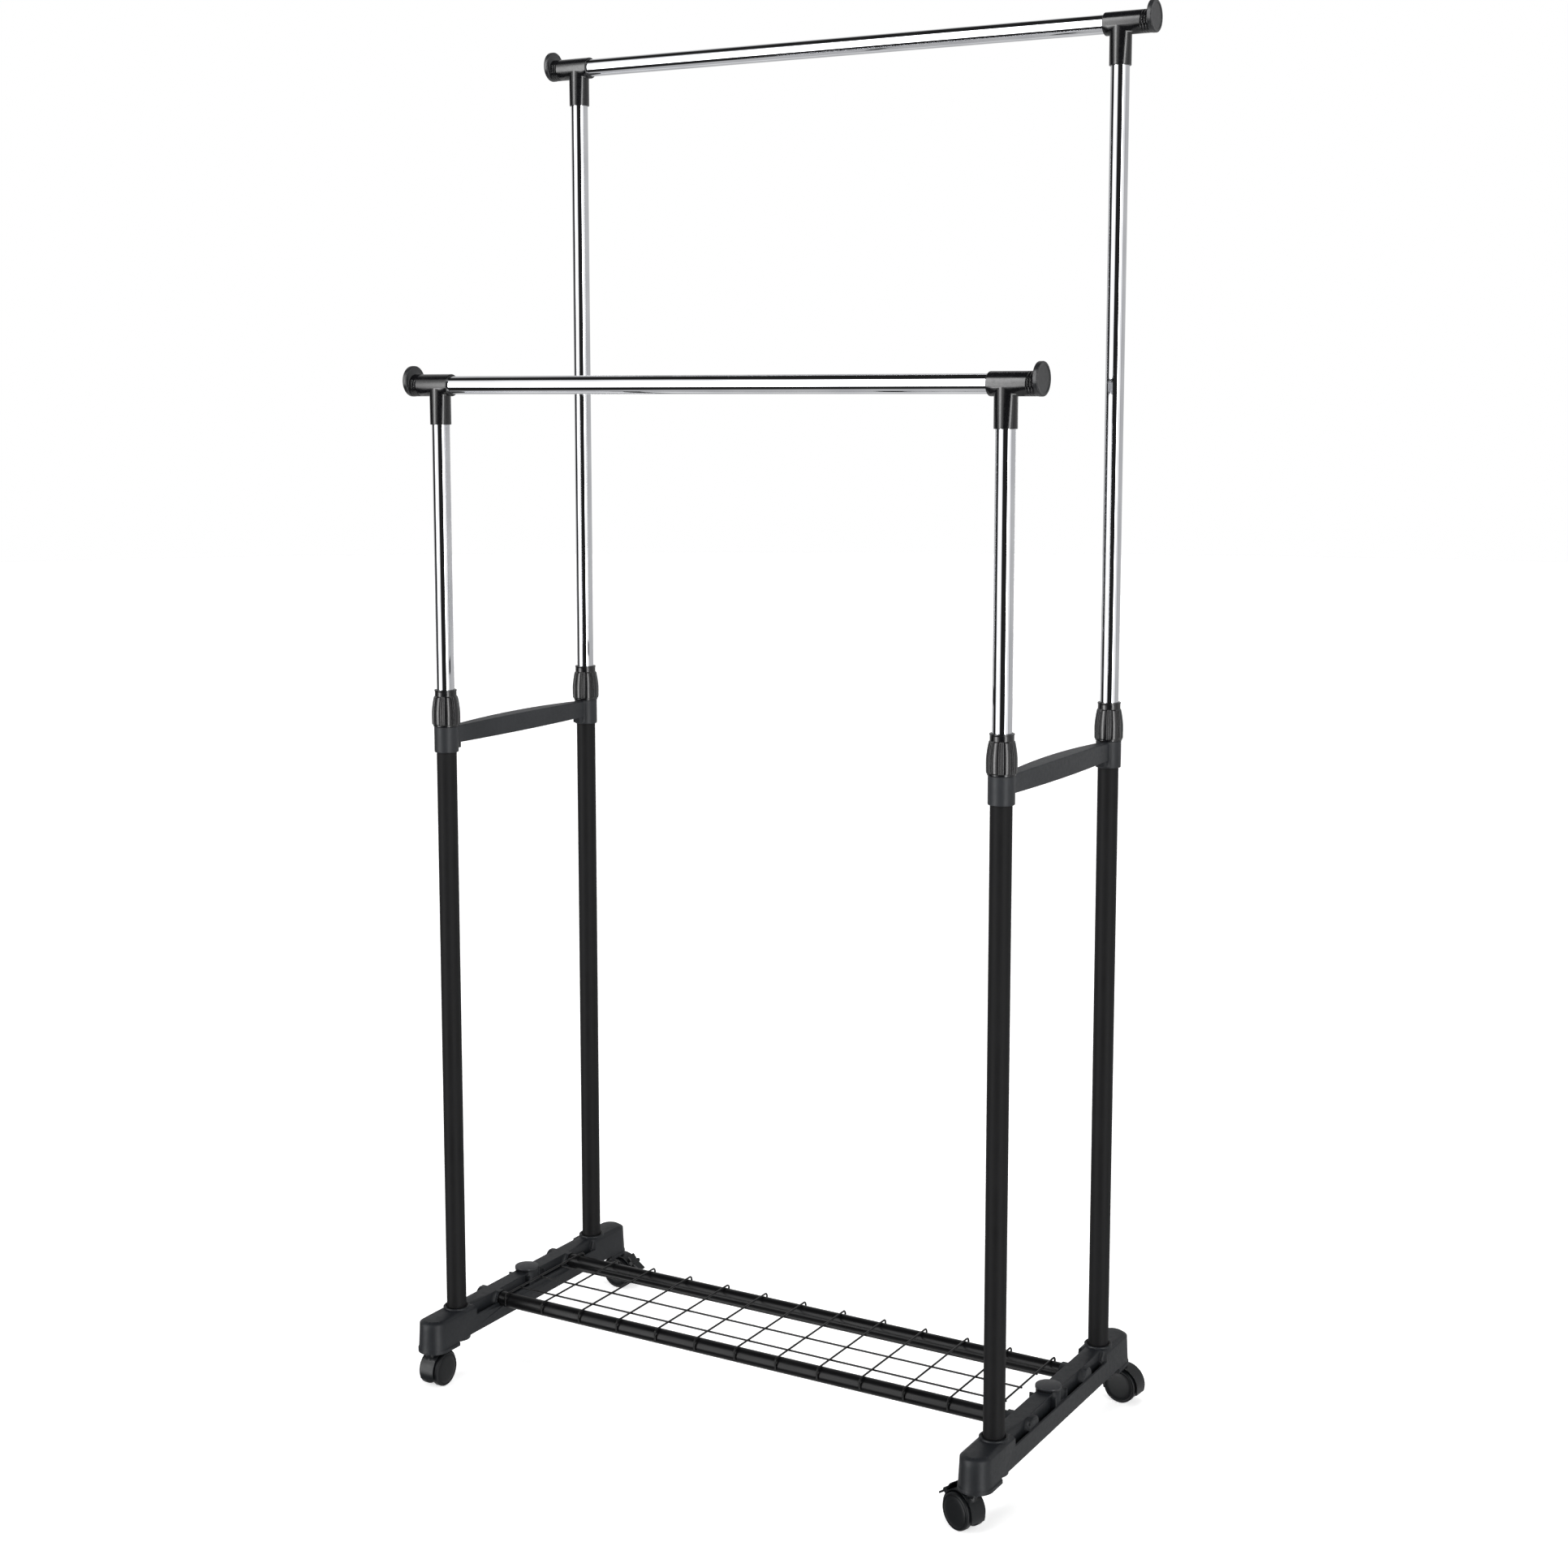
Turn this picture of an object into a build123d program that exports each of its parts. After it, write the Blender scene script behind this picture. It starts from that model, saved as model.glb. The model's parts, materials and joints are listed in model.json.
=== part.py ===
# Rolling clothes rack: two hanging rails on telescopic posts, a low wire shelf and four casters.
# Millimetres. X runs along the rails, Y from the front rail to the back one, Z up.
# The origin is on the floor, in the middle between the four posts.
import math
import os

from build123d import *

os.makedirs("parts", exist_ok=True)

# Clearances
running_gap = 0.05  # radial, where a shaft turns or slides in a close bore
slide_gap = 0.3  # radial, between the loose faces of sliding tubes
body_gap = 0.4  # between faces of two pieces that move past each other

# Overall layout
post_span_x = 762.0
post_span_y = 303.0
front_rail_z = 1266.5
back_rail_z = 1680.5

# Tubes
upper_od = 22.0
upper_wall = 1.0
upper_length = 850.0
lower_wall = 1.2
lower_top_z = 862.0
rail_od = 22.0
rail_wall = 1.0
shelf_tube_od = 19.0
shelf_tube_wall = 1.0
shelf_tube_inset = 73.5  # from the post axis towards the middle
shelf_tube_z = 77.5

# Moulded base beams
hood_to_beam = 1.6
beam_wall_top_z = 84.5
beam_top_z = 88.0
beam_half_width = 20.5
beam_draft = 2.8
beam_crown = 5.6  # how far the crown of the housing leans in from its wall
end_out = 45.5  # from the post axis to the middle of the rounded end
mid_bottom_rise = 6.0
step_out = 20.5  # from the post axis to the step in the underside
ledge_z = 75.0
spine_half = 10.0
pocket_floor_z = 63.0
flange_wall = 2.6
housing_in = 17.5  # from the post axis to the housing's inner end
socket_floor = 2.5
socket_ring_wall = 4.6
socket_ring_rise = 2.5
roof_wall = 3.0
boss_wall = 3.5
boss_drop = 2.0  # from the shelf tube's axis to the middle of its arched boss
centre_boss_r = 15.0
rib_thick = 2.2
rib_drop = 1.5  # from the top of the spine to the ribs beside the centre boss
cap_r = 15.8
cap_rim = 3.4
cap_dome = 1.6
cap_spigot_r = 5.0
cap_spigot_depth = 12.0

# Cross braces below the collars
sleeve_wall = 2.6
sleeve_drop = 18.0  # from the top of the lower tube to the top of the sleeve
sleeve_height = 32.0
bar_drop = 22.0  # from the top of the sleeve to the bar's underside
bar_end_half = 6.0
bar_mid_half = 11.0
bar_rise = 2.5
bar_wall = 2.6
lug_size = 7.0

# Twist collars and the collets inside them
collar_height = 46.0
collar_wall = 3.1
collar_belly = 0.4
collar_neck_wall = 2.2
collar_rib_end = 38.5
collar_lobes = 8
lobe_width = 8.6
lobe_proud = 1.3
collar_rib_thick = 1.3
collar_rib_proud = 1.0
collet_skirt_depth = 15.0
collet_wall = 1.3
collet_height = 14.0
collet_slit = 1.4

# Tee connectors and end discs
tee_leg_wall = 2.0
tee_arm_wall = 2.5
tee_leg_drop = 48.0
tee_arm_inner = 19.0
tee_arm_outer = 38.0
tee_bridge = 2.0
ring_groove_pitch = 3.4
ring_groove_depth = 0.8
ring_groove_width = 1.3
disc_lift = 5.0
disc_rim = 0.25  # how far the disc drops below the arm
disc_thick = 6.0
disc_border = 3.25
disc_inset_depth = 0.5
plug_depth = 8.0

# Wire shelf
wire_d = 2.4
wire_count = 13
wire_end_inset = 30.6  # from the post axis to the last cross wire
wire_bend_r = 3.5
wire_weld = 0.5
long_wire_places = (-0.69, -0.13, 0.44)  # of the way from the middle to a shelf tube
leg_bottom_z = 73.5

# Casters
stem_out = 54.0  # from the post axis
wheel_r = 21.5
wheel_width = 9.5
wheel_spacing = 20.5
caster_trail = 14.0
axle_d = 6.0
wheel_skin = 2.6
hood_gap = 1.2
hood_wall = 1.7
hood_inset = 5.0  # from a wheel's outer face to the side of the hood
hood_low_angle = -20.0
hood_high_angle = 200.0
web_margin = 5.0
stem_d = 7.0
stem_pin_d = 8.0
stem_pin_length = 27.0
stem_flange_r = 7.0
stem_flange_thick = 0.8
stem_bottom_z = 17.0
boss_top_r = 6.6
brake_angle = 36.0
brake_pin_d = 2.6
brake_hub_wall = 1.5
brake_half_width = 6.4
brake_ear = 2.4
brake_wing = 2.2
brake_upper_reach = 16.0  # from the axle to the end of the upper wing
brake_lower_tip_r = 35.0
brake_lower_angle = 13.0

# Values that follow from the ones above
post_x = post_span_x / 2
post_y = post_span_y / 2
end_y = post_y + end_out
stem_y = post_y + stem_out
step_y = post_y + step_out
housing_inner_y = post_y - housing_in
shelf_tube_y = post_y - shelf_tube_inset
hood_inner_r = wheel_r + hood_gap
hood_outer_r = hood_inner_r + hood_wall
beam_bottom_z = wheel_r + hood_outer_r + hood_to_beam
mid_bottom_z = beam_bottom_z + mid_bottom_rise
lower_id = upper_od + 2 * slide_gap
lower_od = lower_id + 2 * lower_wall
lower_bottom_z = beam_bottom_z + socket_floor
beam_height = beam_wall_top_z - beam_bottom_z
beam_slope = math.tan(math.radians(beam_draft))
boss_r = shelf_tube_od / 2 + boss_wall
pocket_half = beam_half_width - (ledge_z - beam_bottom_z) * beam_slope - flange_wall
boss_half = pocket_half + 0.4
sleeve_r = lower_od / 2 + sleeve_wall
sleeve_top_z = lower_top_z - sleeve_drop
sleeve_bottom_z = sleeve_top_z - sleeve_height
bar_bottom_z = sleeve_top_z - bar_drop
collar_bottom_z = sleeve_top_z + body_gap
collar_top_z = collar_bottom_z + collar_height
collet_r = lower_od / 2 + collet_wall
collar_base_r = collet_r + body_gap + collar_wall
collar_belly_r = collar_base_r + collar_belly
collar_neck_r = upper_od / 2 + slide_gap + collar_neck_wall
upper_top_drop = rail_od / 2 + tee_bridge
disc_r = rail_od / 2 + tee_arm_wall + disc_lift + disc_rim
wire_z = shelf_tube_z + shelf_tube_od / 2 + body_gap + wire_d / 2
wire_leg_y = shelf_tube_y + shelf_tube_od / 2 + body_gap + wire_d / 2
wire_pitch = (post_span_x - 2 * wire_end_inset) / (wire_count - 1)
wire_half_run = (wire_pitch * (wire_count - 1) + wire_d) / 2
wheel_inner_v = (wheel_spacing - wheel_width) / 2
wheel_outer_v = wheel_inner_v + wheel_width
hood_half = wheel_outer_v - hood_inset
web_half = wheel_inner_v - body_gap
brake_pivot_r = hood_outer_r + body_gap + brake_hub_wall + brake_pin_d / 2
brake_upper_rise = hood_outer_r + hood_to_beam - body_gap - brake_wing / 2
caster_top_z = beam_bottom_z - stem_flange_thick - body_gap
boss_reach = caster_trail - boss_top_r
boss_start_z = wheel_r + math.sqrt(wheel_r**2 - boss_reach**2) + body_gap

corners = {
    "front_left": (-1, -1),
    "front_right": (1, -1),
    "back_left": (-1, 1),
    "back_right": (1, 1),
}
# Where each caster trails at rest, in degrees from +X, and whether it carries a brake
caster_headings = {
    "front_left": (91.0, False),
    "front_right": (158.0, True),
    "back_left": (0.0, True),
    "back_right": (-5.0, False),
}


def save(builder, name):
    builder.part.label = name
    export_step(builder.part, f"parts/{name}.step")


def ring_edges(builder, radius):
    """The circular edges of one radius."""
    circles = builder.edges().filter_by(GeomType.CIRCLE)
    return circles.filter_by(lambda edge: abs(edge.radius - radius) < 0.01)


def tube(plane, outer_d, inner_d, length, name):
    with BuildPart() as pipe:
        with BuildSketch(plane):
            Circle(outer_d / 2)
            Circle(inner_d / 2, mode=Mode.SUBTRACT)
        extrude(amount=length)
    save(pipe, name)


def base_beam(name, side):
    """One moulded beam: two end housings joined by a spine on a wider flange."""
    x0 = side * post_x

    def level(z):
        return Plane((x0, 0, z))

    def side_on(offset):
        return Plane.YZ.offset(x0 + offset)

    pocket_stops = (
        (centre_boss_r + rib_thick, shelf_tube_y - boss_r),
        (shelf_tube_y + boss_r, housing_inner_y - rib_thick),
    )
    with BuildPart() as beam:
        # drafted wall all round, then the crowned top
        with BuildSketch(level(beam_bottom_z)):
            SlotCenterToCenter(2 * end_y, 2 * beam_half_width, rotation=90)
        extrude(amount=beam_height, taper=beam_draft)
        top_half = beam_half_width - beam_height * beam_slope
        with BuildSketch(level(beam_wall_top_z)):
            SlotCenterToCenter(2 * end_y, 2 * top_half, rotation=90)
        crown = beam_top_z - beam_wall_top_z
        extrude(amount=crown, taper=math.degrees(math.atan2(beam_crown, crown)))
        # a small foot lip round the bottom of each housing
        with BuildSketch(level(beam_bottom_z)):
            SlotCenterToCenter(2 * end_y, 2 * beam_half_width + 1.2, rotation=90)
        extrude(amount=4.5)
        # spine between the housings
        cut = beam_half_width
        with BuildSketch(level(ledge_z)):
            with GridLocations(2 * spine_half + cut, 0, 2, 1):
                Rectangle(cut, 2 * housing_inner_y)
        extrude(amount=beam_top_z - ledge_z, mode=Mode.SUBTRACT)
        with BuildSketch(level(beam_bottom_z)):
            Rectangle(3 * beam_half_width, 2 * step_y)
        extrude(amount=mid_bottom_z - beam_bottom_z, mode=Mode.SUBTRACT)
        # drop the lip from the flange, so that the housings alone carry it
        with BuildSketch(level(mid_bottom_z)):
            with GridLocations(4 * beam_half_width, 0, 2, 1):
                Rectangle(2 * beam_half_width - 0.6, 2 * step_y)
        extrude(amount=ledge_z - mid_bottom_z, mode=Mode.SUBTRACT)
        # open pockets along both sides of the spine
        with BuildSketch(level(pocket_floor_z)):
            for low, high in pocket_stops:
                with GridLocations(spine_half + pocket_half, low + high, 2, 2):
                    Rectangle(pocket_half - spine_half, high - low)
        extrude(amount=ledge_z - pocket_floor_z, mode=Mode.SUBTRACT)
        # hollow underside of the spine
        with BuildSketch(level(mid_bottom_z)):
            for low, high in pocket_stops:
                with GridLocations(0, low + high, 1, 2):
                    Rectangle(2 * (spine_half - flange_wall), high - low)
        extrude(amount=beam_top_z - roof_wall - mid_bottom_z, mode=Mode.SUBTRACT)
        # hollow underside of the housings, round the post socket and the caster stem
        hollow_half = top_half - flange_wall
        with BuildSketch(level(beam_bottom_z)):
            for end in (-1, 1):
                middle = end * (end_y + housing_inner_y + flange_wall) / 2
                with Locations((0, middle)):
                    Rectangle(2 * hollow_half, end_y - housing_inner_y - flange_wall)
                with Locations((0, end * end_y)):
                    Circle(hollow_half)
                with Locations((0, end * stem_y)):
                    Circle(stem_pin_d / 2 + boss_wall, mode=Mode.SUBTRACT)
                    Rectangle(rib_thick, 3 * hollow_half, mode=Mode.SUBTRACT)
                with Locations((0, end * post_y)):
                    Circle(lower_od / 2 + boss_wall, mode=Mode.SUBTRACT)
        extrude(amount=beam_wall_top_z - roof_wall - beam_bottom_z, mode=Mode.SUBTRACT)
        # bosses: under the centre cap, round the shelf tubes and round the posts
        with BuildSketch(level(mid_bottom_z)):
            Circle(centre_boss_r)
        extrude(amount=beam_top_z + 2 - mid_bottom_z)
        with BuildSketch(level(pocket_floor_z)):
            with GridLocations(0, 2 * centre_boss_r + rib_thick, 1, 2):
                Rectangle(2 * boss_half, rib_thick)
        extrude(amount=beam_top_z - rib_drop - pocket_floor_z)
        with BuildSketch(side_on(-boss_half)):
            boss_z = shelf_tube_z - boss_drop
            with Locations((-shelf_tube_y, boss_z), (shelf_tube_y, boss_z)):
                Circle(boss_r)
            drop = boss_z - mid_bottom_z
            with GridLocations(2 * shelf_tube_y, 0, 2, 1):
                with Locations((0, mid_bottom_z + drop / 2)):
                    Rectangle(2 * boss_r, drop)
                with Locations((0, beam_top_z + boss_r / 2)):
                    Rectangle(2 * boss_r, boss_r, mode=Mode.SUBTRACT)
        extrude(amount=2 * boss_half)
        with BuildSketch(level(beam_bottom_z)):
            with GridLocations(0, post_span_y, 1, 2):
                Circle(lower_od / 2 + socket_ring_wall)
        extrude(amount=beam_top_z + socket_ring_rise - beam_bottom_z)
        # bores
        with BuildSketch(level(lower_bottom_z)):
            with GridLocations(0, post_span_y, 1, 2):
                Circle(lower_od / 2)
        extrude(amount=2 * beam_height, mode=Mode.SUBTRACT)
        with BuildSketch(level(beam_bottom_z)):
            with GridLocations(0, 2 * stem_y, 1, 2):
                Circle(stem_pin_d / 2)
        extrude(amount=stem_pin_length, mode=Mode.SUBTRACT)
        with BuildSketch(level(beam_top_z + 2 - cap_spigot_depth)):
            Circle(cap_spigot_r)
        extrude(amount=cap_spigot_depth, mode=Mode.SUBTRACT)
        with BuildSketch(side_on(-side * 2 * beam_half_width)):
            with Locations((-shelf_tube_y, shelf_tube_z), (shelf_tube_y, shelf_tube_z)):
                Circle(shelf_tube_od / 2)
        bore_reach = 2 * beam_half_width + boss_half - boss_wall
        extrude(amount=side * bore_reach, mode=Mode.SUBTRACT)
        chamfer(ring_edges(beam, lower_od / 2 + socket_ring_wall).group_by(Axis.Z)[-1], 0.8)
    save(beam, name)


def centre_cap(name, side):
    seat_z = beam_top_z + 2
    axis = Axis((side * post_x, 0, 0), (0, 0, 1))
    with BuildPart() as cap:
        with BuildSketch(Plane.XZ):
            with BuildLine():
                x0 = side * post_x
                Polyline(
                    (x0, seat_z + cap_rim + cap_dome),
                    (x0, seat_z - cap_spigot_depth),
                    (x0 + cap_spigot_r, seat_z - cap_spigot_depth),
                    (x0 + cap_spigot_r, seat_z),
                    (x0 + cap_r, seat_z),
                    (x0 + cap_r, seat_z + cap_rim),
                )
                TangentArc(
                    (x0, seat_z + cap_rim + cap_dome), (x0 + cap_r, seat_z + cap_rim), tangent=(1, 0)
                )
            make_face()
        revolve(axis=axis)
        fillet(ring_edges(cap, cap_r).sort_by(Axis.Z)[-1], 1.0)
    save(cap, name)


def brace(name, side):
    """Two sleeves on the lower tubes, joined by an arched hollow bar, widest in the middle."""
    x0 = side * post_x
    run = post_y - lower_od / 2 - 1.0
    bar_top = sleeve_top_z - 1.0

    def leaf(inset, half_length):
        """Plan outline of the bar, drawn in by inset on both sides."""
        end_half, mid_half = bar_end_half - inset, bar_mid_half - inset
        ThreePointArc((end_half, -half_length), (mid_half, 0), (end_half, half_length))
        Line((end_half, half_length), (-end_half, half_length))
        ThreePointArc((-end_half, half_length), (-mid_half, 0), (-end_half, -half_length))
        Line((-end_half, -half_length), (end_half, -half_length))

    with BuildPart() as link:
        with BuildSketch(Plane((x0, 0, bar_bottom_z))):
            with BuildLine():
                leaf(0, run)
            make_face()
        extrude(amount=bar_top + bar_rise - bar_bottom_z)
        with BuildSketch(Plane.YZ.offset(x0)):
            with BuildLine():
                ThreePointArc((-run, bar_top), (0, bar_top + bar_rise), (run, bar_top))
                Polyline(
                    (run, bar_top),
                    (run, bar_top + 2 * bar_rise),
                    (-run, bar_top + 2 * bar_rise),
                    (-run, bar_top),
                )
            make_face()
        extrude(amount=2 * bar_mid_half, both=True, mode=Mode.SUBTRACT)
        long_edges = link.edges().filter_by(lambda e: e.length > run).group_by(Axis.Z)[-1]
        fillet(long_edges, 1.5)
        with BuildSketch(Plane((x0, 0, bar_bottom_z))):
            with BuildLine():
                leaf(bar_wall, post_y - sleeve_r - lug_size - bar_wall)
            make_face()
        extrude(amount=bar_top - bar_bottom_z - bar_wall, mode=Mode.SUBTRACT)
        with BuildSketch(Plane((x0, 0, sleeve_bottom_z))):
            with GridLocations(0, post_span_y, 1, 2):
                Circle(sleeve_r)
        extrude(amount=sleeve_top_z - sleeve_bottom_z)
        with BuildSketch(Plane((x0, 0, bar_bottom_z - lug_size))):
            with GridLocations(0, 2 * (post_y - sleeve_r - lug_size / 2), 1, 2):
                Rectangle(2 * bar_end_half - 3, lug_size + 2)
        extrude(amount=lug_size + 2)
        fillet(ring_edges(link, sleeve_r).group_by(Axis.Z)[0], 0.8)
        with BuildSketch(Plane((x0, 0, sleeve_bottom_z))):
            with GridLocations(0, post_span_y, 1, 2):
                Circle(lower_od / 2)
        extrude(amount=sleeve_top_z - sleeve_bottom_z, mode=Mode.SUBTRACT)
    save(link, name)


def collar(name, cx, cy):
    """Twist collar: a barrel with broad pads and thin ribs, hollow round the collet."""
    foot_z = collar_bottom_z
    collet_top = lower_top_z + collet_height
    axis = Axis((cx, cy, 0), (0, 0, 1))

    def outline(proud, low, high):
        """Barrel outline between two heights, raised by proud from the core."""
        belly_z = foot_z + 0.3 * collar_height
        core = -lobe_proud
        mid_r = (collar_belly_r + collar_neck_r) / 2 + 0.9
        Spline(
            (collar_base_r + core + proud, foot_z + low),
            (collar_belly_r + core + proud, belly_z),
            (mid_r + core + proud, foot_z + 0.62 * collar_height),
            (collar_neck_r + 1.3 + core + proud, foot_z + high),
        )

    with BuildPart() as nut:
        with BuildSketch(Plane((cx, cy, 0), x_dir=(1, 0, 0), z_dir=(0, -1, 0))):
            with BuildLine():
                outline(0, 0, collar_rib_end)
                Polyline(
                    (collar_neck_r + 1.3 - lobe_proud, foot_z + collar_rib_end),
                    (collar_neck_r, foot_z + collar_rib_end + 1),
                    (collar_neck_r, foot_z + collar_height - 2),
                    (collar_neck_r + 0.6, foot_z + collar_height),
                    (upper_od / 2 + slide_gap, foot_z + collar_height),
                    (upper_od / 2 + slide_gap, collet_top + 1.5),
                    (collet_r - 0.9, collet_top + body_gap),
                    (collet_r + body_gap, lower_top_z + 1.5),
                    (collet_r + body_gap, foot_z),
                    (collar_base_r - lobe_proud, foot_z),
                )
            make_face()
        revolve(axis=axis)
        for turn in range(2 * collar_lobes):
            angle = turn * math.pi / collar_lobes
            out = (math.cos(angle), math.sin(angle), 0)
            aside = (math.sin(angle), -math.cos(angle), 0)
            pad = turn % 2 == 0
            proud = lobe_proud if pad else collar_rib_proud
            foot = 0 if pad else 2
            with BuildSketch(Plane((cx, cy, 0), x_dir=out, z_dir=aside)):
                with BuildLine():
                    outline(proud, foot, collar_rib_end - 1)
                    tip_r = collar_neck_r + 1.3 - lobe_proud
                    Polyline(
                        (tip_r + proud, foot_z + collar_rib_end - 1),
                        (tip_r - 1.1, foot_z + collar_rib_end - 1),
                        (collet_r + 2 * body_gap, lower_top_z + 1.5),
                        (collar_base_r - lobe_proud - 0.9, foot_z + foot),
                        (collar_base_r - lobe_proud + proud, foot_z + foot),
                    )
                make_face()
            extrude(amount=(lobe_width if pad else collar_rib_thick) / 2, both=True)
        with BuildSketch(Plane((cx, cy, foot_z))):
            Circle(collet_r + body_gap)
        extrude(amount=lower_top_z + 1.5 - foot_z, mode=Mode.SUBTRACT)
    save(nut, name)


def collet(name, cx, cy):
    """Slit plastic collet seated on the lower tube, gripping the upper one."""
    skirt_z = lower_top_z - collet_skirt_depth
    top_z = lower_top_z + collet_height
    bore_r = upper_od / 2 + running_gap
    with BuildPart() as grip:
        with BuildSketch(Plane((cx, cy, 0), x_dir=(1, 0, 0), z_dir=(0, -1, 0))):
            with BuildLine():
                Polyline(
                    (lower_od / 2, skirt_z),
                    (collet_r, skirt_z),
                    (collet_r, lower_top_z + 1.0),
                    (collet_r - 1.5, top_z),
                    (bore_r, top_z),
                    (bore_r, lower_top_z),
                    (lower_od / 2, lower_top_z),
                    close=True,
                )
            make_face()
        revolve(axis=Axis((cx, cy, 0), (0, 0, 1)))
        with BuildSketch(Plane((cx, cy, lower_top_z + 3))):
            for turn in (0, 90):
                Rectangle(4 * collet_r, collet_slit, rotation=turn)
        extrude(amount=collet_height, mode=Mode.SUBTRACT)
    save(grip, name)


def tee(name, sx, cy, rail_z):
    """Tee connector: a leg over the post and an arm through which the rail passes."""
    cx = sx * post_x
    leg_r = upper_od / 2 + tee_leg_wall
    arm_r = rail_od / 2 + tee_arm_wall
    inner_end = Plane((cx - sx * tee_arm_inner, cy, rail_z), x_dir=(0, 1, 0), z_dir=(sx, 0, 0))
    with BuildPart() as joint:
        with BuildSketch(Plane((cx, cy, rail_z - tee_leg_drop))):
            Circle(leg_r)
        extrude(amount=tee_leg_drop)
        with BuildSketch(inner_end):
            Circle(arm_r)
        extrude(amount=tee_arm_inner + tee_arm_outer)
        fillet(ring_edges(joint, leg_r).sort_by(Axis.Z)[0], 0.7)
        fillet(ring_edges(joint, arm_r).sort_by(Axis.X)[0 if sx > 0 else -1], 1.2)
        for ring in range(3):
            start = tee_arm_inner + tee_arm_outer - 2.2 - ring * ring_groove_pitch - ring_groove_width
            with BuildSketch(inner_end.offset(start)):
                Circle(arm_r + 1)
                Circle(arm_r - ring_groove_depth, mode=Mode.SUBTRACT)
            extrude(amount=ring_groove_width, mode=Mode.SUBTRACT)
        with BuildSketch(Plane((cx, cy, rail_z - tee_leg_drop))):
            Circle(upper_od / 2)
        extrude(amount=tee_leg_drop - upper_top_drop, mode=Mode.SUBTRACT)
        with BuildSketch(inner_end):
            Circle(rail_od / 2)
        extrude(amount=tee_arm_inner + tee_arm_outer, mode=Mode.SUBTRACT)
    save(joint, name)


def end_disc(name, sx, cy, rail_z):
    """Disc that closes the arm and keeps hangers from sliding off."""
    start_x = sx * (post_x + tee_arm_outer)
    face = Plane((start_x, cy, rail_z), x_dir=(0, 1, 0), z_dir=(sx, 0, 0))
    lifted = Plane((start_x, cy, rail_z + disc_lift), x_dir=(0, 1, 0), z_dir=(sx, 0, 0))
    with BuildPart() as plug:
        with BuildSketch(lifted):
            Circle(disc_r)
        extrude(amount=disc_thick)
        fillet(plug.edges().filter_by(GeomType.CIRCLE), 1.3)
        with BuildSketch(lifted.offset(disc_thick - disc_inset_depth)):
            Circle(disc_r - disc_border)
        extrude(amount=disc_inset_depth, mode=Mode.SUBTRACT)
        with BuildSketch(face.offset(-plug_depth)):
            Circle(rail_od / 2)
        extrude(amount=plug_depth + 1)
    save(plug, name)


def wire_shelf():
    """Welded wire shelf: cross wires bent down at both ends, over three long wires."""
    wire_r = wire_d / 2
    long_z = wire_z - wire_d + wire_weld
    with BuildPart() as shelf:
        for index in range(wire_count):
            x = (index - (wire_count - 1) / 2) * wire_pitch
            with BuildLine(Plane.YZ.offset(x)):
                FilletPolyline(
                    (-wire_leg_y, leg_bottom_z),
                    (-wire_leg_y, wire_z),
                    (wire_leg_y, wire_z),
                    (wire_leg_y, leg_bottom_z),
                    radius=wire_bend_r,
                )
            with BuildSketch(Plane((x, -wire_leg_y, leg_bottom_z))):
                Circle(wire_r)
            sweep()
        with BuildSketch(Plane.YZ.offset(-wire_half_run)):
            with Locations(*[(place * shelf_tube_y, long_z) for place in long_wire_places]):
                Circle(wire_r)
        extrude(amount=2 * wire_half_run)
    save(shelf, "wire_shelf")


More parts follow.
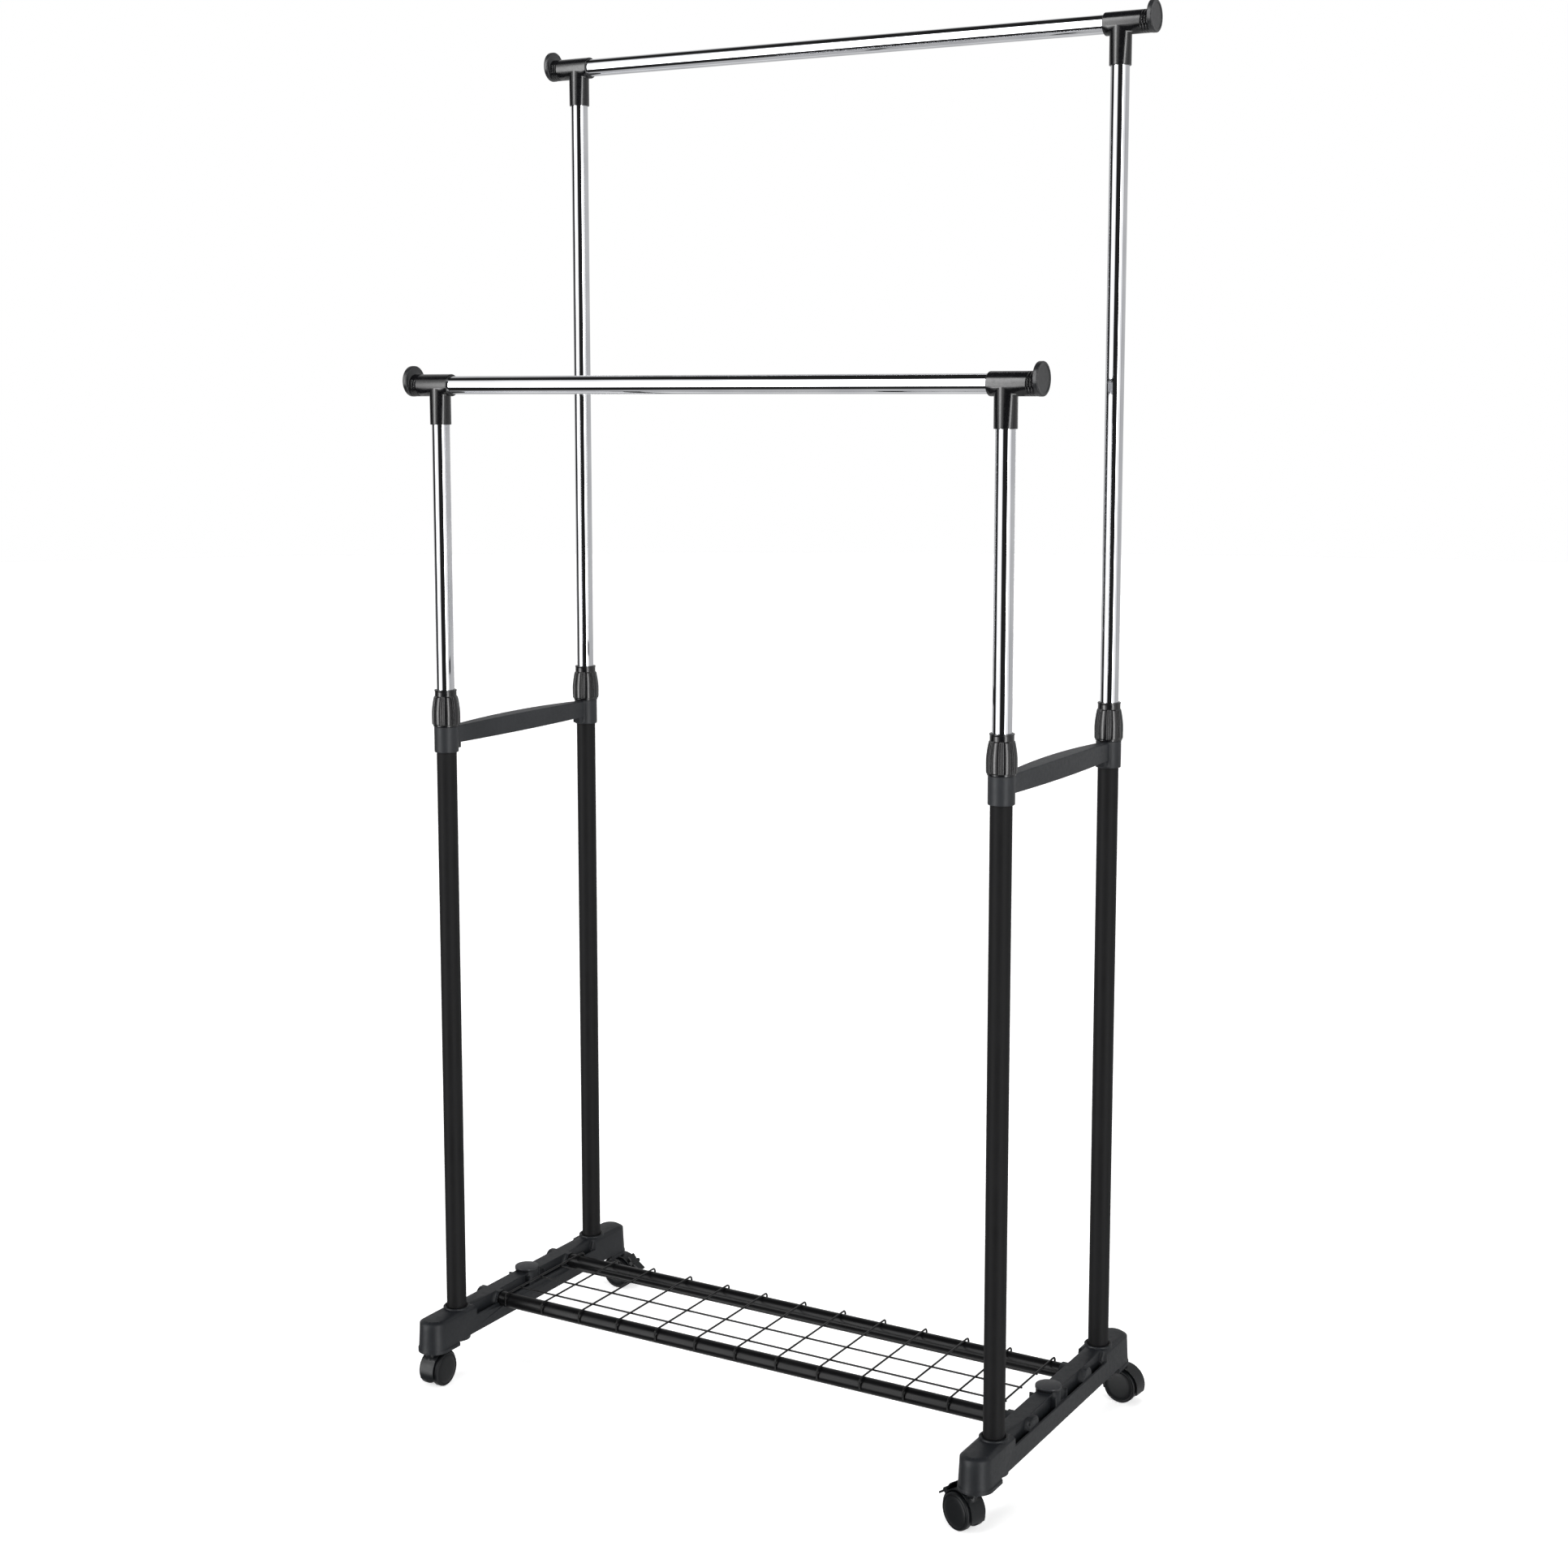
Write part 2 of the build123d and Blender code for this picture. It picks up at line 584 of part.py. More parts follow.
def caster(corner):
    """One twin wheel caster: stem, hooded body, axle, two wheels and perhaps a brake lever."""
    sx, sy = corners[corner]
    heading, braked = caster_headings[corner]
    cx, cy = sx * post_x, sy * stem_y
    turn = math.radians(heading)
    trail = Vector(math.cos(turn), math.sin(turn), 0)
    aside = Vector(math.sin(turn), -math.cos(turn), 0)
    stem = Vector(cx, cy, 0)
    centre = stem + trail * caster_trail + Vector(0, 0, wheel_r)

    def upright(shift):
        """Side view plane through the wheel centre, shifted along the axle."""
        return Plane(centre + aside * shift, x_dir=trail, z_dir=aside)

    def polar(radius, degrees):
        angle = math.radians(degrees)
        return (radius * math.cos(angle), radius * math.sin(angle))

    with BuildPart() as pin:
        with BuildSketch(Plane((cx, cy, stem_bottom_z))):
            Circle(stem_d / 2)
        extrude(amount=beam_bottom_z - stem_bottom_z)
        with BuildSketch(Plane((cx, cy, beam_bottom_z - stem_flange_thick))):
            Circle(stem_flange_r)
        extrude(amount=stem_flange_thick)
        with BuildSketch(Plane((cx, cy, beam_bottom_z))):
            Circle(stem_pin_d / 2)
        extrude(amount=stem_pin_length)
        chamfer(pin.edges().sort_by(Axis.Z)[-1], 0.8)
    save(pin, f"{corner}_caster_stem")

    pivot = polar(brake_pivot_r, brake_angle)
    with BuildPart() as body:
        # web between the wheels
        with BuildSketch(upright(-web_half)):
            Circle(wheel_r - web_margin)
            with Locations((-caster_trail / 2, 6)):
                Rectangle(caster_trail, 2 * wheel_r - 12)
        extrude(amount=2 * web_half)
        # hood over both wheels
        low, high = hood_low_angle, hood_high_angle
        with BuildSketch(upright(-hood_half)):
            with BuildLine():
                mid = (low + high) / 2
                ThreePointArc(
                    polar(hood_outer_r, low), polar(hood_outer_r, mid), polar(hood_outer_r, high)
                )
                Line(polar(hood_outer_r, high), polar(hood_inner_r, high))
                ThreePointArc(
                    polar(hood_inner_r, high), polar(hood_inner_r, mid), polar(hood_inner_r, low)
                )
                Line(polar(hood_inner_r, low), polar(hood_outer_r, low))
            make_face()
        extrude(amount=2 * hood_half)
        # the web reaches the hood
        with BuildSketch(upright(-web_half)):
            with BuildLine():
                ThreePointArc(
                    polar(hood_inner_r + 0.4, low), polar(hood_inner_r + 0.4, mid),
                    polar(hood_inner_r + 0.4, high),
                )
                Polyline(polar(hood_inner_r + 0.4, high), (0, 0), polar(hood_inner_r + 0.4, low))
            make_face()
        extrude(amount=2 * web_half)
        # stem boss, wider above the wheels
        with BuildSketch(Plane((cx, cy, stem_bottom_z - 3))):
            Circle(web_half)
        extrude(amount=caster_top_z - stem_bottom_z + 3)
        with BuildSketch(Plane((cx, cy, boss_start_z))):
            Circle(boss_top_r)
        extrude(amount=caster_top_z - boss_start_z)
        if braked:
            for shift in (-brake_half_width - body_gap - brake_ear, brake_half_width + body_gap):
                with BuildSketch(upright(shift)):
                    with Locations(pivot):
                        Circle(brake_pin_d / 2 + brake_hub_wall)
                    with Locations(polar(brake_pivot_r - 2.5, brake_angle)):
                        Rectangle(4, 2 * brake_hub_wall + brake_pin_d, rotation=brake_angle)
                extrude(amount=brake_ear)
            with BuildSketch(upright(-brake_half_width - body_gap)):
                with Locations(pivot):
                    Circle(brake_pin_d / 2)
            extrude(amount=2 * (brake_half_width + body_gap))
        with BuildSketch(Plane((cx, cy, stem_bottom_z - body_gap))):
            Circle(stem_d / 2 + running_gap)
        extrude(amount=caster_top_z, mode=Mode.SUBTRACT)
        with BuildSketch(upright(-2 * wheel_r)):
            Circle(axle_d / 2)
        extrude(amount=4 * wheel_r, mode=Mode.SUBTRACT)
    save(body, f"{corner}_caster_body")

    axle_half = wheel_outer_v - wheel_skin
    with BuildPart() as axle:
        with BuildSketch(upright(-axle_half)):
            Circle(axle_d / 2)
        extrude(amount=2 * axle_half)
    save(axle, f"{corner}_caster_axle")

    for label, hand in (("inner", -1), ("outer", 1)):
        bore_r = axle_d / 2 + running_gap
        with BuildPart() as wheel:
            # cross-section of the wheel: distance from the axle, then distance along it
            with BuildSketch(Plane(centre, x_dir=trail, z_dir=(0, 0, -hand))):
                with BuildLine():
                    Polyline(
                        (0, axle_half + body_gap),
                        (bore_r, axle_half + body_gap),
                        (bore_r, wheel_inner_v),
                        (wheel_r - 1.4, wheel_inner_v),
                    )
                    Line((wheel_r - 1.4, wheel_inner_v), (wheel_r, wheel_inner_v + 1.2))
                    Line((wheel_r, wheel_inner_v + 1.2), (wheel_r, wheel_outer_v - 3.2))
                    ThreePointArc(
                        (wheel_r, wheel_outer_v - 3.2),
                        (wheel_r - 0.7, wheel_outer_v - 1.3),
                        (wheel_r - 2.4, wheel_outer_v - 0.7),
                    )
                    Polyline(
                        (wheel_r - 2.4, wheel_outer_v - 0.7),
                        (wheel_r - 2.8, wheel_outer_v - 1.3),
                        (wheel_r - 3.4, wheel_outer_v - 0.8),
                    )
                    TangentArc(
                        (0, wheel_outer_v), (wheel_r - 3.4, wheel_outer_v - 0.8), tangent=(1, 0)
                    )
                    Line((0, wheel_outer_v), (0, axle_half + body_gap))
                make_face()
            revolve(axis=Axis(centre, aside))
        save(wheel, f"{corner}_{label}_wheel")

    if braked:
        with BuildPart() as lever:
            with BuildSketch(upright(-brake_half_width)):
                with Locations(pivot):
                    Circle(brake_pin_d / 2 + brake_hub_wall)
                upper_tip = (brake_upper_reach, brake_upper_rise)
                for tip in (upper_tip, polar(brake_lower_tip_r, brake_lower_angle)):
                    lean = math.degrees(math.atan2(tip[1] - pivot[1], tip[0] - pivot[0]))
                    reach = math.dist(tip, pivot)
                    with Locations(((tip[0] + pivot[0]) / 2, (tip[1] + pivot[1]) / 2)):
                        SlotCenterToCenter(reach, brake_wing, rotation=lean)
                with Locations(pivot):
                    Circle(brake_pin_d / 2 + running_gap, mode=Mode.SUBTRACT)
            extrude(amount=2 * brake_half_width)
        save(lever, f"{corner}_brake_lever")


for side_name, side in (("left", -1), ("right", 1)):
    base_beam(f"base_beam_{side_name}", side)
    centre_cap(f"centre_cap_{side_name}", side)
    brace(f"brace_{side_name}", side)

for corner, (sx, sy) in corners.items():
    rail_z = front_rail_z if sy < 0 else back_rail_z
    cx, cy = sx * post_x, sy * post_y
    lower_base = Plane((cx, cy, lower_bottom_z))
    tube(lower_base, lower_od, lower_id, lower_top_z - lower_bottom_z, f"{corner}_lower_tube")
    upper_base = Plane((cx, cy, rail_z - upper_top_drop - upper_length))
    tube(upper_base, upper_od, upper_od - 2 * upper_wall, upper_length, f"{corner}_upper_tube")
    collar(f"{corner}_twist_collar", cx, cy)
    collet(f"{corner}_collet", cx, cy)
    tee(f"{corner}_tee", sx, cy, rail_z)
    end_disc(f"{corner}_end_disc", sx, cy, rail_z)
    caster(corner)

rail_half = post_x + tee_arm_outer - plug_depth
for row, y, rail_z in (("front", -post_y, front_rail_z), ("back", post_y, back_rail_z)):
    rail_start = Plane((-rail_half, y, rail_z), x_dir=(0, 1, 0), z_dir=(1, 0, 0))
    tube(rail_start, rail_od, rail_od - 2 * rail_wall, 2 * rail_half, f"{row}_rail")

shelf_half = post_x + boss_half - boss_wall
for row, y in (("front", -shelf_tube_y), ("back", shelf_tube_y)):
    tube_start = Plane((-shelf_half, y, shelf_tube_z), x_dir=(0, 1, 0), z_dir=(1, 0, 0))
    bore_d = shelf_tube_od - 2 * shelf_tube_wall
    tube(tube_start, shelf_tube_od, bore_d, 2 * shelf_half, f"{row}_shelf_tube")
wire_shelf()
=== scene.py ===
import json
import math

import bmesh
import bpy
from mathutils import Matrix, Vector


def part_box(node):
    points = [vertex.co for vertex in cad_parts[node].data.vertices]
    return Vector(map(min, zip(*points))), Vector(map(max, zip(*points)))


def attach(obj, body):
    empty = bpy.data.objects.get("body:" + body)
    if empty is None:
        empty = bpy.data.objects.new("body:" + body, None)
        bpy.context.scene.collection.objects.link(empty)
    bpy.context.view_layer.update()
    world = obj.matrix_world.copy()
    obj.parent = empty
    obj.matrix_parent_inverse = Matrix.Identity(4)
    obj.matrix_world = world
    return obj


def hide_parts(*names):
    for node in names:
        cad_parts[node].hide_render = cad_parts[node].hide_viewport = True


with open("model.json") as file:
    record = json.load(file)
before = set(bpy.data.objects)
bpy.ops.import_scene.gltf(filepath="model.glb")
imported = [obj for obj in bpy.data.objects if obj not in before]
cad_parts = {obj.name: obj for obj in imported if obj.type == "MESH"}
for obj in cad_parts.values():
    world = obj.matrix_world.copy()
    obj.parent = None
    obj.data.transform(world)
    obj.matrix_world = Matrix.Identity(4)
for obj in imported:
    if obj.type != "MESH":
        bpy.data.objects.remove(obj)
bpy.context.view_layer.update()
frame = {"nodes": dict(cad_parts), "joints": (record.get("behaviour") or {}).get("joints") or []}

mm = 0.001
corners = ("front_left", "front_right", "back_left", "back_right")
joints = {joint["name"]: joint for joint in frame["joints"]}
print("frame loaded:", len(frame["nodes"]), "nodes")

# the camera comes first
viewpoint = {
    "place": (1.4418, -2.4463, 1.2535),
    "turn": 30.18,  # degrees to the left of straight back
    "tilt": 7.15,  # degrees down
    "lens": 53.8,
    "shiftY": -0.06,
}


def makeCamera():
    lensData = bpy.data.cameras.new("studioCamera")
    lensData.lens = viewpoint["lens"]
    lensData.sensor_width = 36.0
    lensData.shift_y = viewpoint["shiftY"]
    lensData.clip_end = 50.0
    camera = bpy.data.objects.new("studioCamera", lensData)
    camera.location = viewpoint["place"]
    turn, tilt = math.radians(viewpoint["turn"]), math.radians(viewpoint["tilt"])
    camera.rotation_euler = (math.radians(90) - tilt, 0, turn)
    bpy.context.scene.collection.objects.link(camera)
    bpy.context.scene.camera = camera


makeCamera()
print("camera set")


def linear(hexColour):
    def channel(start):
        value = int(hexColour[start:start + 2], 16) / 255
        return value / 12.92 if value <= 0.04045 else ((value + 0.055) / 1.055) ** 2.4

    return (channel(1), channel(3), channel(5), 1.0)


def addNode(tree, kind, inputs=None, **settings):
    node = tree.nodes.new(kind)
    for name, value in settings.items():
        setattr(node, name, value)
    for socket, value in (inputs or {}).items():
        if isinstance(value, bpy.types.NodeSocket):
            tree.links.new(value, node.inputs[socket])
        else:
            node.inputs[socket].default_value = value
    return node


def addPiece(name, mesh, body, slot, material, *nodes):
    piece = bpy.data.objects.new(name, mesh)
    bpy.context.scene.collection.objects.link(piece)
    mesh.materials.clear()
    mesh.materials.append(material)
    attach(piece, body)
    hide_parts(*nodes)


def smoothByAngle(mesh, degrees):
    for face in mesh.polygons:
        face.use_smooth = True
    mesh.set_sharp_from_angle(angle=math.radians(degrees))


def evenNormals(mesh):
    # big faces lead, so a small fillet doesn't bend the shading of the wall beside it
    carrier = bpy.data.objects.new(mesh.name + "Carrier", mesh)
    bpy.context.scene.collection.objects.link(carrier)
    modifier = carrier.modifiers.new("evenNormals", "WEIGHTED_NORMAL")
    modifier.mode = "FACE_AREA_WITH_ANGLE"
    modifier.keep_sharp = True
    bpy.context.view_layer.update()
    ready = carrier.evaluated_get(bpy.context.evaluated_depsgraph_get())
    evened = bpy.data.meshes.new_from_object(ready)
    evened.name = mesh.name + "Even"
    bpy.data.objects.remove(carrier)
    return evened


# corners this near are welded, and edges this sharp in degrees stay sharp
seam = {"weld": 0.002 * mm, "sharpFrom": 32}


def mergedCopy(node, body, slot, material):
    # the CAD faces welded together, so that a curved wall shades as one surface
    mesh = frame["nodes"][node].data.copy()
    mesh.name = node + "Shell"
    work = bmesh.new()
    work.from_mesh(mesh)
    bmesh.ops.remove_doubles(work, verts=work.verts, dist=seam["weld"])
    work.to_mesh(mesh)
    work.free()
    smoothByAngle(mesh, seam["sharpFrom"])
    addPiece(mesh.name, evenNormals(mesh), body, slot, material, node)


def middleOf(node):
    low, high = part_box(node)
    return (Vector(low) + Vector(high)) / 2


# finishes
def newMaterial(name, baseColour, metallic, roughness, ior=None):
    material = bpy.data.materials.new(name)
    material.use_nodes = True
    tree = material.node_tree
    shader = tree.nodes["Principled BSDF"]
    shader.inputs["Base Color"].default_value = linear(baseColour)
    shader.inputs["Metallic"].default_value = metallic
    shader.inputs["Roughness"].default_value = roughness
    if ior:
        shader.inputs["IOR"].default_value = ior
    place = addNode(tree, "ShaderNodeTexCoord").outputs["Object"]
    return material, tree, shader, place


def pattern(tree, place, size, detail=2.0, stretch=(1, 1, 1)):
    # cloudy noise whose features are about size across, in metres
    spread = addNode(tree, "ShaderNodeMapping", {"Vector": place, "Scale": stretch})
    noise = addNode(tree, "ShaderNodeTexNoise", {
        "Vector": spread.outputs["Vector"], "Scale": 1 / size, "Detail": detail, "Roughness": 0.55,
    })
    return noise.outputs["Fac"]


def ranged(tree, value, low, high, fromLow=0.3, fromHigh=0.7):
    spread = addNode(tree, "ShaderNodeMapRange", {
        "Value": value, "From Min": fromLow, "From Max": fromHigh, "To Min": low, "To Max": high,
    })
    return spread.outputs["Result"]


def tinted(tree, shader, value, darkColour, lightColour):
    mix = addNode(tree, "ShaderNodeMix", {"Factor": value}, data_type="RGBA")
    mix.inputs[6].default_value = linear(darkColour)
    mix.inputs[7].default_value = linear(lightColour)
    tree.links.new(mix.outputs[2], shader.inputs["Base Color"])


def relief(tree, shader, heights, depth, strength, edgeRadius=0.0):
    # depth and edge radius in metres; the edge rounding goes in under the grain
    bump = addNode(tree, "ShaderNodeBump", {
        "Height": heights, "Distance": depth, "Strength": strength,
    })
    if edgeRadius:
        edge = addNode(tree, "ShaderNodeBevel", {"Radius": edgeRadius}, samples=6)
        tree.links.new(edge.outputs["Normal"], bump.inputs["Normal"])
    tree.links.new(bump.outputs["Normal"], shader.inputs["Normal"])


def makeBrightChrome():
    # steel tube, polished and chrome plated: a clean mirror with a faint cool haze
    material, tree, shader, place = newMaterial("brightChromePlate", "#d6d7da", 1.0, 0.04)
    haze = pattern(tree, place, 30 * mm, 1.0)
    tree.links.new(ranged(tree, haze, 0.03, 0.042), shader.inputs["Roughness"])
    cloud = pattern(tree, place, 70 * mm, 2.0)
    tinted(tree, shader, ranged(tree, cloud, 0, 1), "#cdced2", "#dedfe2")
    return material


def makePowderCoat(name, darkColour, lightColour, shine, specular):
    # steel, powder coated and baked: satin black with a slight orange peel, drawn at 1.6 mm to show
    material, tree, shader, place = newMaterial(name, darkColour, 0.0, shine, 1.5)
    shader.inputs["Specular IOR Level"].default_value = specular
    peel = pattern(tree, place, 1.6 * mm, 1.0)
    cloud = pattern(tree, place, 45 * mm, 3.0)
    tinted(tree, shader, ranged(tree, cloud, 0, 1), darkColour, lightColour)
    tree.links.new(ranged(tree, cloud, shine - 0.03, shine + 0.04), shader.inputs["Roughness"])
    relief(tree, shader, peel, 0.04 * mm, 0.25)
    return material


def makeMouldedPlastic(name, darkColour, lightColour, shine, grainDepth, specular,
                       ior=1.49, edge=0.5):
    # thermoplastic moulded against spark-eroded steel: fine dimpled grain, drawn at 0.9 mm to show,
    # with soft moulded edges and faint flow marks
    material, tree, shader, place = newMaterial(name, darkColour, 0.0, shine, ior)
    shader.inputs["Specular IOR Level"].default_value = specular
    flow = pattern(tree, place, 60 * mm, 3.0, (1, 0.5, 1))
    scuff = pattern(tree, place, 5 * mm, 5.0)
    dimples = pattern(tree, place, 0.9 * mm, 2.0)
    tinted(tree, shader, ranged(tree, flow, 0, 1, 0.25, 0.75), darkColour, lightColour)
    tree.links.new(ranged(tree, scuff, shine - 0.04, shine + 0.05), shader.inputs["Roughness"])
    relief(tree, shader, dimples, grainDepth * mm, 0.5, edge * mm)
    return material


def makeZincPlate():
    # turned steel, bright zinc plated: pale grey with fine turning marks
    material, tree, shader, place = newMaterial("brightZincPlate", "#b4b7bb", 1.0, 0.3)
    marks = pattern(tree, place, 1.2 * mm, 3.0, (0.3, 0.3, 3))
    tree.links.new(ranged(tree, marks, 0.22, 0.4), shader.inputs["Roughness"])
    return material


# name, dark and light colour, roughness and specular level, for the coats; the plastics have grain
# depth in mm before the specular level, then the IOR and the moulded edge in mm where it differs
chromePlate = makeBrightChrome()
tubeCoat = makePowderCoat("satinBlackPowderCoat", "#101011", "#151516", 0.6, 0.16)
shelfTubeCoat = makePowderCoat("glossBlackPowderCoat", "#0c0c0d", "#111112", 0.3, 0.12)
wireCoat = makePowderCoat("dippedWireCoat", "#0b0b0c", "#101011", 0.35, 0.25)
beamPlastic = makeMouldedPlastic(
    "mouldedPolypropylene", "#141619", "#1d1f22", 0.48, 0.08, 0.3)
bracePlastic = makeMouldedPlastic(
    "mouldedBracePolypropylene", "#1b1d20", "#26282b", 0.48, 0.08, 0.34)
capPlastic = makeMouldedPlastic(
    "mouldedCapPolypropylene", "#232427", "#2c2d30", 0.44, 0.06, 0.4)
teePlastic = makeMouldedPlastic(
    "semiGlossAbs", "#0a0a0c", "#101012", 0.2, 0.002, 0.5, 1.53, 0)
collarPlastic = makeMouldedPlastic(
    "satinCollarAbs", "#0a0a0c", "#101012", 0.22, 0.002, 0.5, 1.53, 0)
discPlastic = makeMouldedPlastic(
    "satinDiscAbs", "#17181a", "#1e1f21", 0.36, 0.02, 0.5, 1.53, 0)
casterPlastic = makeMouldedPlastic(
    "mouldedNylon", "#0c0e10", "#131517", 0.38, 0.03, 0.26, 1.53, 0)
wheelPlastic = makeMouldedPlastic(
    "wheelNylon", "#0c0d0f", "#121416", 0.4, 0.02, 0.18, 1.53, 0)
colletPlastic = makeMouldedPlastic(
    "mouldedAcetal", "#1c1c1d", "#242425", 0.4, 0.02, 0.5, 1.48, 0)
zincPlate = makeZincPlate()
print("finishes made")


# geometry node helpers
def newTree(name, sizes):
    tree = bpy.data.node_groups.new(name, "GeometryNodeTree")
    tree.interface.new_socket("Geometry", in_out="OUTPUT", socket_type="NodeSocketGeometry")
    for label, value in sizes.items():
        kind = "NodeSocketInt" if isinstance(value, int) else "NodeSocketFloat"
        tree.interface.new_socket(label, in_out="INPUT", socket_type=kind)
    given = addNode(tree, "NodeGroupInput").outputs
    return tree, given


def endTree(tree, geometry, material):
    real = addNode(tree, "GeometryNodeRealizeInstances", {"Geometry": geometry})
    painted = addNode(tree, "GeometryNodeSetMaterial", {
        "Geometry": real.outputs["Geometry"], "Material": material,
    })
    addNode(tree, "NodeGroupOutput", {"Geometry": painted.outputs["Geometry"]})


def grow(tree, sizes, name):
    # runs the tree once with these sizes and keeps the plain mesh
    carrier = bpy.data.objects.new(name + "Carrier", bpy.data.meshes.new(name + "Carrier"))
    bpy.context.scene.collection.objects.link(carrier)
    modifier = carrier.modifiers.new("grow", "NODES")
    modifier.node_group = tree
    for item in tree.interface.items_tree:
        if item.in_out == "INPUT":
            modifier[item.identifier] = sizes[item.name]
    bpy.context.view_layer.update()
    ready = carrier.evaluated_get(bpy.context.evaluated_depsgraph_get())
    mesh = bpy.data.meshes.new_from_object(ready)
    mesh.name = name
    bpy.data.objects.remove(carrier)
    return mesh


def maths(tree, operation, first, second=0.0):
    return addNode(tree, "ShaderNodeMath", {0: first, 1: second}, operation=operation).outputs[0]


# tubes: a wall section carried round a circle; length and radius come from the frame
tubeSizes = {"Length": 1.0, "Outer Radius": 11 * mm, "Wall": 1.0 * mm, "Sides": 96}
lowerTubeWall = 1.2 * mm


def makeTubeTree():
    tree, given = newTree("tubeTree", tubeSizes)
    halfWall = maths(tree, "MULTIPLY", given["Wall"], 0.5)
    middle = maths(tree, "SUBTRACT", given["Outer Radius"], halfWall)
    ring = addNode(tree, "GeometryNodeCurvePrimitiveCircle", {
        "Resolution": given["Sides"], "Radius": middle,
    })
    section = addNode(tree, "GeometryNodeCurvePrimitiveQuadrilateral", {
        "Width": given["Wall"], "Height": given["Length"],
    })
    swept = addNode(tree, "GeometryNodeCurveToMesh", {
        "Curve": ring.outputs["Curve"], "Profile Curve": section.outputs["Curve"],
    })
    half = maths(tree, "MULTIPLY", given["Length"], 0.5)
    lift = addNode(tree, "ShaderNodeCombineXYZ", {"Z": half})
    raised = addNode(tree, "GeometryNodeTransform", {
        "Geometry": swept.outputs["Mesh"], "Translation": lift.outputs["Vector"],
    })
    endTree(tree, raised.outputs["Geometry"], tubeCoat)
    return tree


tubeTree = makeTubeTree()


def addTube(node, body, slot, material, wall=tubeSizes["Wall"]):
    low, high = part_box(node)
    spans = [high[i] - low[i] for i in range(3)]
    along = spans.index(max(spans))
    sizes = dict(tubeSizes, Length=spans[along], Wall=wall)
    sizes["Outer Radius"] = min(spans) / 2
    mesh = grow(tubeTree, sizes, node + "Tube")
    start = middleOf(node)
    start[along] = low[along]
    turn = Matrix.Rotation(math.radians(90), 4, "Y") if along == 0 else Matrix.Identity(4)
    mesh.transform(Matrix.Translation(start) @ turn)
    smoothByAngle(mesh, degrees=40)
    addPiece(node + "Tube", mesh, body, slot, material, node)


for corner in corners:
    row = corner.split("_")[0]
    addTube(corner + "_lower_tube", "stand", "powder_coat", tubeCoat, lowerTubeWall)
    addTube(corner + "_upper_tube", row + "_frame", "chrome_plate", chromePlate)
for row in ("front", "back"):
    addTube(row + "_rail", row + "_frame", "chrome_plate", chromePlate)
    addTube(row + "_shelf_tube", "stand", "powder_coat", shelfTubeCoat)
print("tubes made")

# wire shelf: cross wires bent down over the tubes, long wires welded under them
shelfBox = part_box("wire_shelf")
wireRadius = 1.2 * mm
wireShelf = {
    "Wire Radius": wireRadius,
    "Wire Sides": 14,
    "Bend Radius": 4.7 * mm,
    "Bend Steps": 7,
    "Cross Wires": 13,
    "Run": shelfBox[1][0] - shelfBox[0][0] - 2 * wireRadius,
    "Half Width": (shelfBox[1][1] - shelfBox[0][1]) / 2 - wireRadius,
    "Top": shelfBox[1][2] - wireRadius,
    "Foot": shelfBox[0][2],
    "Long Drop": 1.9 * mm,
    "Long Front": -53.82 * mm,
    "Long Middle": -10.14 * mm,
    "Long Back": 34.32 * mm,
}


